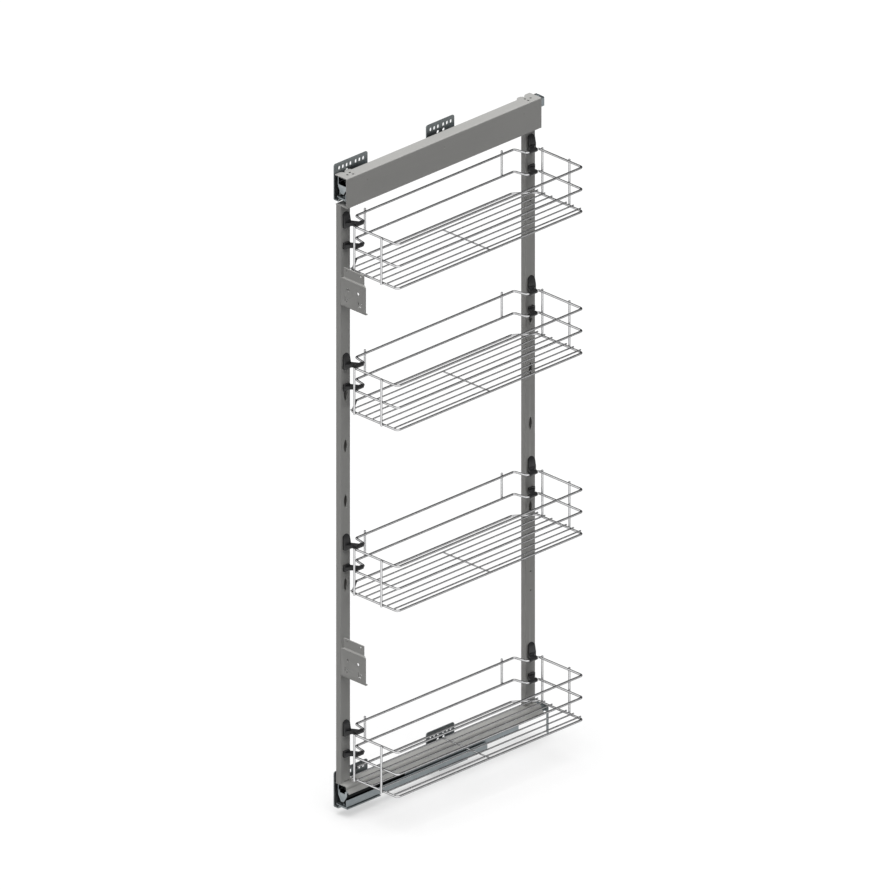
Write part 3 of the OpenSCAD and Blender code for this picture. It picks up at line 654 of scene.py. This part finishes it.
class WireMesh:
    # the centre lines of a basket's wires, and its weld spots

    def __init__(self, values):
        self.values = values
        self.points, self.edges, self.kinds, self.tapers = [], [], [], []

    def held(self, line, tapers, closed):
        # extra points just inside both ends of each straight stretch keep its shading even
        out = []
        for k, (at, taper) in enumerate(zip(line, tapers)):
            out.append((at, taper))
            after = line[(k + 1) % len(line)]
            last = k == len(line) - 1
            if (after - at).length > self.values["heldFrom"] and (closed or not last):
                step = (after - at).normalized() * self.values["heldInset"]
                out += [(at + step, 1.0), (after - step, 1.0)]
        return out

    def add(self, line, kind, closed=False):
        first = len(self.points)
        tapers = [1.0] * len(line)
        if not closed:
            a, b = line[0], line[-1]
            step = (b - a).normalized() * self.values["endLength"]
            line = [a, a + step] + line[1:-1] + [b - step, b]
            tapers = [1.0] * len(line)
            tapers[0] = tapers[-1] = self.values["endTaper"]
        line, tapers = zip(*self.held(line, tapers, closed))
        self.points += [tuple(p / 1000) for p in line]
        self.kinds += [wireKinds[kind]] * len(line)
        self.tapers += tapers
        self.edges += [(first + k, first + k + 1) for k in range(len(line) - 1)]
        if closed:
            self.edges.append((first + len(line) - 1, first))

    def weld(self, x, y, z):
        self.points.append((x / 1000, y / 1000, z / 1000))
        self.kinds.append(wireKinds["weld"])
        self.tapers.append(1.0)

    def toObject(self, name):
        mesh = bpy.data.meshes.new(name)
        mesh.from_pydata(self.points, self.edges, [])
        mesh.attributes.new("wireKind", "INT", "POINT").data.foreach_set("value", self.kinds)
        mesh.attributes.new("taper", "FLOAT", "POINT").data.foreach_set("value", self.tapers)
        return newObject(name, mesh)


def addRims(wires, z, v):
    # two rims that step in round the posts, and the lowest one, which clears them with a slant
    y0, y1 = v["frontY"], v["backY"]
    n0, n1 = y0 + v["notchDepth"], y1 - v["notchDepth"]
    baseNotch = v["notchX"] - v["baseInset"]
    rim = [(v["railX"], n0), (v["notchX"], n0 - v["jogSkew"]), (v["notchX"], y0), (v["outerX"], y0),
           (v["outerX"], y1), (v["notchX"], y1), (v["notchX"], n1 + v["jogSkew"]), (v["railX"], n1)]
    base = [(v["floorX"], n0 + v["baseSkew"]), (baseNotch, y0), (v["outerX"], y0),
            (v["outerX"], y1), (baseNotch, y1), (v["floorX"], n1 - v["baseSkew"])]
    for outline, level in ((base, z), (rim, z + v["height"] / 2), (rim, z + v["height"])):
        wires.add([Vector((*p, level)) for p in roundedLoop(outline, v["bendRadius"])], "rail", closed=True)


def addFloor(wires, z, v):
    # the floor's lengthwise wires lie on the lowest rim, and a cross wire holds them from below
    y0, y1, rail, floor, sink = v["frontY"], v["backY"], v["railWire"], v["floorWire"], v["weldSink"]
    floorZ = z + (rail + floor) / 2 - sink
    firstX, lastX = v["notchX"] + v["floorInset"][0], v["outerX"] - v["floorInset"][1]
    pitch = (lastX - firstX) / (v["floorWires"] - 1)
    half = (y0 + y1) / 2
    for i in range(v["floorWires"]):
        x = firstX + i * pitch
        wires.add([Vector((x, y0 - v["wireEnd"], floorZ)), Vector((x, y1 + v["wireEnd"], floorZ))], "floor")
        for y in (y0, y1):
            wires.weld(x, y, z + rail / 2 - sink / 2)
        wires.weld(x, half, floorZ - floor / 2 + sink / 2)
    underZ = floorZ - floor + sink
    crossWire = [Vector((firstX - v["crossWireLead"], half, underZ)), Vector((v["outerX"], half, underZ))]
    wires.add(crossWire, "floor")


def addUprights(wires, z, v):
    # uprights stand outside the rims at both ends, and on the side of the posts
    y0, y1, rail, sink = v["frontY"], v["backY"], v["railWire"], v["weldSink"]
    middle, top = z + v["height"] / 2, z + v["height"]
    out = (rail + v["uprightWire"]) / 2 - sink
    seam = rail / 2 - sink / 2
    past = rail / 2 + v["uprightPast"]
    for x in (v["notchX"] + at for at in v["uprightsAt"]):
        for y, side in ((y0, -1), (y1, 1)):
            foot, head = Vector((x, y + side * out, z - past)), Vector((x, y + side * out, top + past))
            wires.add([foot, head], "upright")
            for level in (z, middle, top):
                wires.weld(x, y + side * seam, level)
    inset, (below, above) = v["notchDepth"] + v["sideUprightsAt"], v["sideUprightPast"]
    for y in (y0 + inset, y1 - inset):
        wires.add([Vector((v["railX"] - out, y, middle - rail / 2 - below)),
                   Vector((v["railX"] - out, y, top + rail / 2 + above))], "upright")
        for level in (middle, top):
            wires.weld(v["railX"] - seam, y, level)


def basketLines(z, values):
    wires = WireMesh(values)
    addRims(wires, z, values)
    addFloor(wires, z, values)
    addUprights(wires, z, values)
    return wires


def newTree(name, inputs):
    # a geometry tree with the named inputs, beside the geometry itself
    tree = bpy.data.node_groups.new(name, "GeometryNodeTree")
    tree.interface.new_socket("Geometry", in_out="INPUT", socket_type="NodeSocketGeometry")
    for label, kind in inputs:
        tree.interface.new_socket(label, in_out="INPUT", socket_type="NodeSocket" + kind)
    tree.interface.new_socket("Geometry", in_out="OUTPUT", socket_type="NodeSocketGeometry")
    return tree, tree.nodes.new("NodeGroupInput"), tree.nodes.new("NodeGroupOutput")


def closeTree(tree, geometry, into, out):
    # instances become real, and everything takes the finish
    real = tree.nodes.new("GeometryNodeRealizeInstances")
    tree.links.new(geometry, real.inputs["Geometry"])
    painted = tree.nodes.new("GeometryNodeSetMaterial")
    tree.links.new(real.outputs["Geometry"], painted.inputs["Geometry"])
    tree.links.new(into.outputs["Finish"], painted.inputs["Material"])
    tree.links.new(painted.outputs["Geometry"], out.inputs["Geometry"])


def storedValue(tree, name, kind):
    stored = tree.nodes.new("GeometryNodeInputNamedAttribute")
    stored.data_type = kind
    stored.inputs["Name"].default_value = name
    return stored.outputs["Attribute"]


def weldedWireTree(beadSpread):
    # centre lines become round wires, and weld spots become small uneven beads
    tree, into, out = newTree("weldedWire", [
        ("Rail wire", "Float"), ("Upright wire", "Float"), ("Floor wire", "Float"), ("Weld bead", "Float"),
        ("Sides", "Int"), ("Seed", "Int"), ("Finish", "Material")])
    new, link = tree.nodes.new, tree.links.new
    kind = storedValue(tree, "wireKind", "INT")

    def kindIs(name):
        test = new("FunctionNodeCompare")
        test.data_type = "INT"
        test.operation = "EQUAL"
        link(kind, test.inputs[2])
        test.inputs[3].default_value = wireKinds[name]
        return test.outputs["Result"]

    def choose(test, no, yes):
        made = new("GeometryNodeSwitch")
        made.input_type = "FLOAT"
        link(test, made.inputs["Switch"])
        link(no, made.inputs["False"])
        link(yes, made.inputs["True"])
        return made.outputs["Output"]

    parts = new("GeometryNodeSeparateGeometry")
    parts.domain = "POINT"
    link(into.outputs["Geometry"], parts.inputs["Geometry"])
    link(kindIs("weld"), parts.inputs["Selection"])

    lines = new("GeometryNodeMeshToCurve")
    link(parts.outputs["Inverted"], lines.inputs["Mesh"])
    thick = choose(kindIs("upright"), into.outputs["Rail wire"], into.outputs["Upright wire"])
    thick = choose(kindIs("floor"), thick, into.outputs["Floor wire"])
    radius = maths(tree, "MULTIPLY", maths(tree, "MULTIPLY", thick, 0.5), storedValue(tree, "taper", "FLOAT"))
    ring = new("GeometryNodeCurvePrimitiveCircle")
    ring.inputs["Radius"].default_value = 1.0
    link(into.outputs["Sides"], ring.inputs["Resolution"])
    tube = new("GeometryNodeCurveToMesh")
    link(lines.outputs["Curve"], tube.inputs["Curve"])
    link(ring.outputs["Curve"], tube.inputs["Profile Curve"])
    link(radius, tube.inputs["Scale"])
    tube.inputs["Fill Caps"].default_value = True

    ball = new("GeometryNodeMeshIcoSphere")
    ball.inputs["Subdivisions"].default_value = 2
    link(into.outputs["Weld bead"], ball.inputs["Radius"])
    tint = new("GeometryNodeStoreNamedAttribute")
    tint.data_type = "FLOAT"
    tint.domain = "POINT"
    tint.inputs["Name"].default_value = "weldTint"
    tint.inputs["Value"].default_value = 1.0
    link(ball.outputs["Mesh"], tint.inputs["Geometry"])
    uneven = new("FunctionNodeRandomValue")
    uneven.data_type = "FLOAT_VECTOR"
    least, greatest = beadSpread
    uneven.inputs[0].default_value = (least, least, least)
    uneven.inputs[1].default_value = (greatest, greatest, greatest)
    link(into.outputs["Seed"], uneven.inputs["Seed"])
    beads = new("GeometryNodeInstanceOnPoints")
    link(parts.outputs["Selection"], beads.inputs["Points"])
    link(tint.outputs["Geometry"], beads.inputs["Instance"])
    link(uneven.outputs[0], beads.inputs["Scale"])

    joined = new("GeometryNodeJoinGeometry")
    link(tube.outputs["Mesh"], joined.inputs["Geometry"])
    link(beads.outputs["Instances"], joined.inputs["Geometry"])
    smooth = new("GeometryNodeSetShadeSmooth")
    link(joined.outputs["Geometry"], smooth.inputs["Geometry"])
    closeTree(tree, smooth.outputs["Geometry"], into, out)
    return tree


def withTree(holder, tree, values):
    # put a tree on an object and set its inputs by their identifiers
    modifier = holder.modifiers.new("shape", "NODES")
    modifier.node_group = tree
    for item in tree.interface.items_tree:
        if item.item_type == "SOCKET" and item.in_out == "INPUT" and item.name in values:
            modifier[item.identifier] = values[item.name]


def makeBasket(name, level, tree, values):
    holder = basketLines(level, values).toObject(name + "Lines")
    withTree(holder, tree, {
        "Rail wire": values["railWire"] / 1000, "Upright wire": values["uprightWire"] / 1000,
        "Floor wire": values["floorWire"] / 1000, "Weld bead": values["weldBead"] / 1000,
        "Sides": values["sides"], "Seed": values["seed"], "Finish": finishes["wire"]})
    piece = plainMesh(holder, name + "Wires")
    piece.data.set_sharp_from_angle(angle=math.radians(values["sharpFrom"]))
    print(name, "triangles", sum(len(face.vertices) - 2 for face in piece.data.polygons))
    mount(piece, "larder_frame", [name.replace("Basket", "_basket")])


wireTree = weldedWireTree(basket["beadSpread"])
for name, level in basket["levels"].items():
    makeBasket(name, level, wireTree, basket)
print("baskets ready")

rivet = {
    # millimetres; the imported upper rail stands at 1195.5, so the upper rivets are 2.5 too high
    "x": 20.5, "places": (18.0, 66.0, 250.0, 284.0), "levels": (0.0, 1198.0),
    "shank": 2.5, "topHead": 4.0, "topRise": 0.7, "footHead": 3.0, "footRise": 1.2,
    "topStep": 0.2, "footStep": 0.25,     # plain height of a head under its dome
    "railWall": 1.5, "plate": 2.0, "sides": 28, "seed": 3, "sharpFrom": 40,
}


def turnedMesh(name, outline, sides):
    # a closed outline (radius, height) turned about the Z axis
    work = bmesh.new()
    rings = []
    for radius, height in outline:
        if radius == 0:
            rings.append([work.verts.new((0, 0, height))])
        else:
            rings.append([work.verts.new((radius * math.cos(2 * math.pi * k / sides),
                                          radius * math.sin(2 * math.pi * k / sides), height))
                          for k in range(sides)])
    for low, high in zip(rings, rings[1:]):
        for k in range(sides):
            corners = [low[k % len(low)], low[(k + 1) % len(low)],
                       high[(k + 1) % len(high)], high[k % len(high)]]
            work.faces.new(list(dict.fromkeys(corners)))
    bmesh.ops.recalc_face_normals(work, faces=work.faces)
    mesh = bpy.data.meshes.new(name)
    work.to_mesh(mesh)
    work.free()
    return mesh


def domeOutline(radius, rise, height, steps=5):
    # outline of a flattened dome, from its rim to its middle
    return [(radius * math.cos(math.pi / 2 * k / steps) if k < steps else 0,
             height + rise * math.sin(math.pi / 2 * k / steps)) for k in range(steps + 1)]


def rivetOutline(v):
    low, high = -v["plate"], v["railWall"]
    foot = domeOutline(v["footHead"], v["footStep"] - v["footRise"], low - v["footStep"])
    head = domeOutline(v["topHead"], v["topRise"] - v["topStep"], high + v["topStep"])
    shank = [(v["footHead"], low), (v["shank"], low), (v["shank"], high), (v["topHead"], high)]
    return [(r / 1000, h / 1000) for r, h in foot[::-1] + shank + head]


def placedPartTree():
    # one part set on every point, and no two of them turned alike
    fullTurn = 6.28
    tree, into, out = newTree("placedPart", [("Part", "Object"), ("Seed", "Int"), ("Finish", "Material")])
    new, link = tree.nodes.new, tree.links.new
    part = new("GeometryNodeObjectInfo")
    link(into.outputs["Part"], part.inputs["Object"])
    spin = new("FunctionNodeRandomValue")
    spin.data_type = "FLOAT"
    spin.inputs[2].default_value = 0.0
    spin.inputs[3].default_value = fullTurn
    link(into.outputs["Seed"], spin.inputs["Seed"])
    turn = new("ShaderNodeCombineXYZ")
    link(spin.outputs[1], turn.inputs["Z"])
    placed = new("GeometryNodeInstanceOnPoints")
    link(into.outputs["Geometry"], placed.inputs["Points"])
    link(part.outputs["Geometry"], placed.inputs["Instance"])
    link(turn.outputs["Vector"], placed.inputs["Rotation"])
    closeTree(tree, placed.outputs["Instances"], into, out)
    return tree


def makeRivets(tree, values):
    part = newObject("rivetPart", turnedMesh("rivetShape", rivetOutline(values), values["sides"]))
    places = bpy.data.meshes.new("rivetPlaces")
    places.from_pydata([(values["x"] / 1000, y / 1000, z / 1000) for z in values["levels"]
                        for y in values["places"]], [], [])
    holder = newObject("rivetPlaces", places)
    withTree(holder, tree, {"Part": part, "Seed": values["seed"], "Finish": finishes["zinc"]})
    piece = plainMesh(holder, "bracketRivetsPiece")
    bpy.data.objects.remove(part)
    setShading(piece.data, True)
    piece.data.set_sharp_from_angle(angle=math.radians(values["sharpFrom"]))
    mount(piece, "cabinet_rails", ["bracket_rivets"])


makeRivets(placedPartTree(), rivet)
print("rivets ready")
